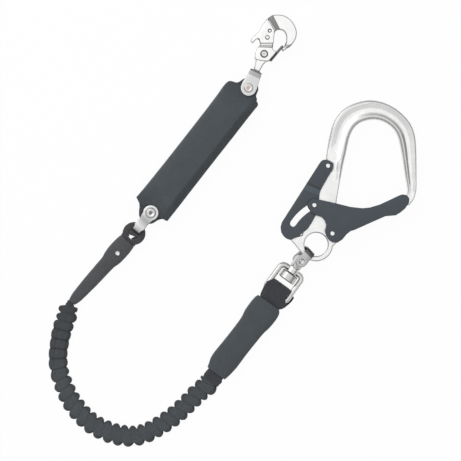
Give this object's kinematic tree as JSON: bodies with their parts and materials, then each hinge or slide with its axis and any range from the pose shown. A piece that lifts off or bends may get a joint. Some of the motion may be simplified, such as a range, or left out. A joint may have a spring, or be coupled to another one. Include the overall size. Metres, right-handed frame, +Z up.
{
  "type": "single lanyard with shock absorber",
  "caption": "Single fall-arrest lanyard laid out flat: swivel snap hook, shock absorber pack, gathered elastic webbing and a large scaffold hook on a swivel.",
  "frame": {"origin": "middle of the laid-out object on the floor, its bounding box's bottom centre", "axes": "+Y from the webbing's bend towards the snap hook, +X towards the scaffold hook, +Z up out of the seen face"},
  "size_m": [0.4717, 0.5533, 0.0224],
  "materials": {
    "absorber_cover": "heat-welded woven cover, matt",
    "gate_pivot_rivet": "satin, zinc-bright",
    "gate_spring": "drawn wire",
    "gate_stop_rivet": "satin, zinc-bright",
    "gathered_webbing": "ribbed polyester webbing, matt",
    "guard_rivet": "satin, zinc-bright",
    "guard_sleeve": "heat-welded woven cover, matt",
    "hook_body": "satin, forged",
    "hook_gate": "fine-grained powder coat",
    "hook_loop": "ribbed polyester webbing, matt",
    "label_sleeve": "heat-welded woven cover, matt",
    "lever_pivot_rivet": "satin, zinc-bright",
    "lever_spring": "drawn wire",
    "link_bush": "satin, zinc-bright",
    "link_rivet": "satin, zinc-bright",
    "link_strap": "satin, zinc-bright",
    "lower_bush": "satin, zinc-bright",
    "lower_pack_loop": "ribbed polyester webbing, matt",
    "lower_pin": "satin, zinc-bright",
    "lower_shackle": "satin, zinc-bright",
    "safety_lever": "fine-grained powder coat",
    "snap_body": "satin, zinc-bright",
    "snap_gate": "satin, zinc-bright",
    "snap_gate_rivet": "satin, zinc-bright",
    "snap_gate_spring": "drawn wire",
    "snap_lock_lever": "satin, zinc-bright",
    "snap_lock_rivet": "satin, zinc-bright",
    "snap_lock_spring": "drawn wire",
    "snap_swivel_nut": "satin, zinc-bright",
    "swivel_frame": "satin, zinc-bright",
    "swivel_nut": "satin, zinc-bright",
    "swivel_stud": "satin, zinc-bright",
    "tear_webbing": "ribbed polyester webbing, matt",
    "upper_bush": "satin, zinc-bright",
    "upper_pack_loop": "ribbed polyester webbing, matt",
    "upper_pin": "satin, zinc-bright",
    "upper_shackle": "satin, zinc-bright",
    "webbing_collar": "ribbed polyester webbing, matt",
    "webbing_eye": "ribbed polyester webbing, matt"
  },
  "bodies": {
    "lanyard": {"webbing_eye": "webbing_eye", "guard_sleeve": "guard_sleeve", "guard_rivet": "guard_rivet", "gathered_webbing": "gathered_webbing", "webbing_collar": "webbing_collar", "label_sleeve": "label_sleeve", "hook_loop": "hook_loop"},
    "lower_shackle": {"lower_shackle": "lower_shackle", "lower_pin": "lower_pin", "lower_bush": "lower_bush"},
    "absorber": {"absorber_cover": "absorber_cover", "tear_webbing": "tear_webbing", "upper_pack_loop": "upper_pack_loop", "lower_pack_loop": "lower_pack_loop"},
    "upper_shackle": {"upper_shackle": "upper_shackle", "upper_pin": "upper_pin", "upper_bush": "upper_bush"},
    "snap_hook": {"snap_body": "snap_body", "snap_gate_rivet": "snap_gate_rivet", "snap_lock_rivet": "snap_lock_rivet", "snap_swivel_nut": "snap_swivel_nut", "snap_gate_spring": "snap_gate_spring", "snap_lock_spring": "snap_lock_spring"},
    "snap_gate": {"snap_gate": "snap_gate"},
    "snap_lock": {"snap_lock_lever": "snap_lock_lever"},
    "swivel_frame": {"swivel_frame": "swivel_frame"},
    "swivel_stud": {"swivel_stud": "swivel_stud", "swivel_nut": "swivel_nut"},
    "hook_link": {"link_strap": "link_strap", "link_rivet": "link_rivet", "link_bush": "link_bush"},
    "scaffold_hook": {"hook_body": "hook_body", "gate_pivot_rivet": "gate_pivot_rivet", "lever_pivot_rivet": "lever_pivot_rivet", "gate_spring": "gate_spring", "lever_spring": "lever_spring"},
    "hook_gate": {"hook_gate": "hook_gate", "gate_stop_rivet": "gate_stop_rivet"},
    "safety_lever": {"safety_lever": "safety_lever"}
  },
  "joints": [
    {"name": "eye_swing", "type": "hinge", "parent": "lanyard", "child": "lower_shackle", "pos_m": [-0.13896, -0.04234, 0.0105], "axis": [0, 0, 1], "range_deg": [-2, 45]},
    {"name": "lower_pin_swing", "type": "hinge", "parent": "lower_shackle", "child": "absorber", "pos_m": [-0.11718, -0.0161, 0.0105], "axis": [0, 0, 1], "range_deg": [-2, 45]},
    {"name": "upper_pin_swing", "type": "hinge", "parent": "absorber", "child": "upper_shackle", "pos_m": [0.00762, 0.14324, 0.0105], "axis": [0, 0, 1], "range_deg": [-28, 28]},
    {"name": "snap_swivel", "type": "hinge", "parent": "upper_shackle", "child": "snap_hook", "pos_m": [0.01774, 0.16555, 0.0105], "axis": [0.4131, 0.9107, 0], "continuous": true},
    {"name": "snap_gate_turn", "type": "hinge", "parent": "snap_hook", "child": "snap_gate", "pos_m": [0.0275, 0.18682, 0.0105], "axis": [0, 0, 1], "range_deg": [0, 24], "stiffness_Nm_per_rad": 0.02, "springref_deg": -17.19, "deforming": ["snap_gate_spring"]},
    {"name": "snap_lock_turn", "type": "hinge", "parent": "snap_hook", "child": "snap_lock", "pos_m": [0.03167, 0.20788, 0.0105], "axis": [0, 0, 1], "range_deg": [0, 10], "stiffness_Nm_per_rad": 0.02, "springref_deg": -11.46, "deforming": ["snap_lock_spring"]},
    {"name": "frame_tilt", "type": "hinge", "parent": "lanyard", "child": "swivel_frame", "pos_m": [0.04111, -0.1211, 0.0112], "axis": [0.7777, -0.565, -0.2756], "range_deg": [-30, 60]},
    {"name": "stud_swivel", "type": "hinge", "parent": "swivel_frame", "child": "swivel_stud", "pos_m": [0.07332, -0.07676, 0.0112], "axis": [0.5878, 0.809, 0], "continuous": true},
    {"name": "link_pivot", "type": "hinge", "parent": "swivel_stud", "child": "hook_link", "pos_m": [0.07332, -0.07676, 0.0112], "axis": [0.223, -0.162, 0.9613], "range_deg": [-12, 5]},
    {"name": "hook_swing", "type": "hinge", "parent": "hook_link", "child": "scaffold_hook", "pos_m": [0.09402, -0.05643, 0.01], "axis": [0, 0, 1], "range_deg": [-28, 6]},
    {"name": "gate_turn", "type": "hinge", "parent": "scaffold_hook", "child": "hook_gate", "pos_m": [0.11454, -0.04235, 0.01], "axis": [0, 0, 1], "range_deg": [0, 46], "stiffness_Nm_per_rad": 0.05, "springref_deg": -17.19, "deforming": ["gate_spring"]},
    {"name": "lever_turn", "type": "hinge", "parent": "scaffold_hook", "child": "safety_lever", "pos_m": [0.10901, 0.04397, 0.01], "axis": [0, 0, 1], "range_deg": [0, 6.5], "stiffness_Nm_per_rad": 0.05, "springref_deg": -11.46, "deforming": ["lever_spring"]}
  ],
  "couplings": [
    {"joint": "lever_turn", "follows": "gate_turn", "ratio": 0.13}
  ]
}
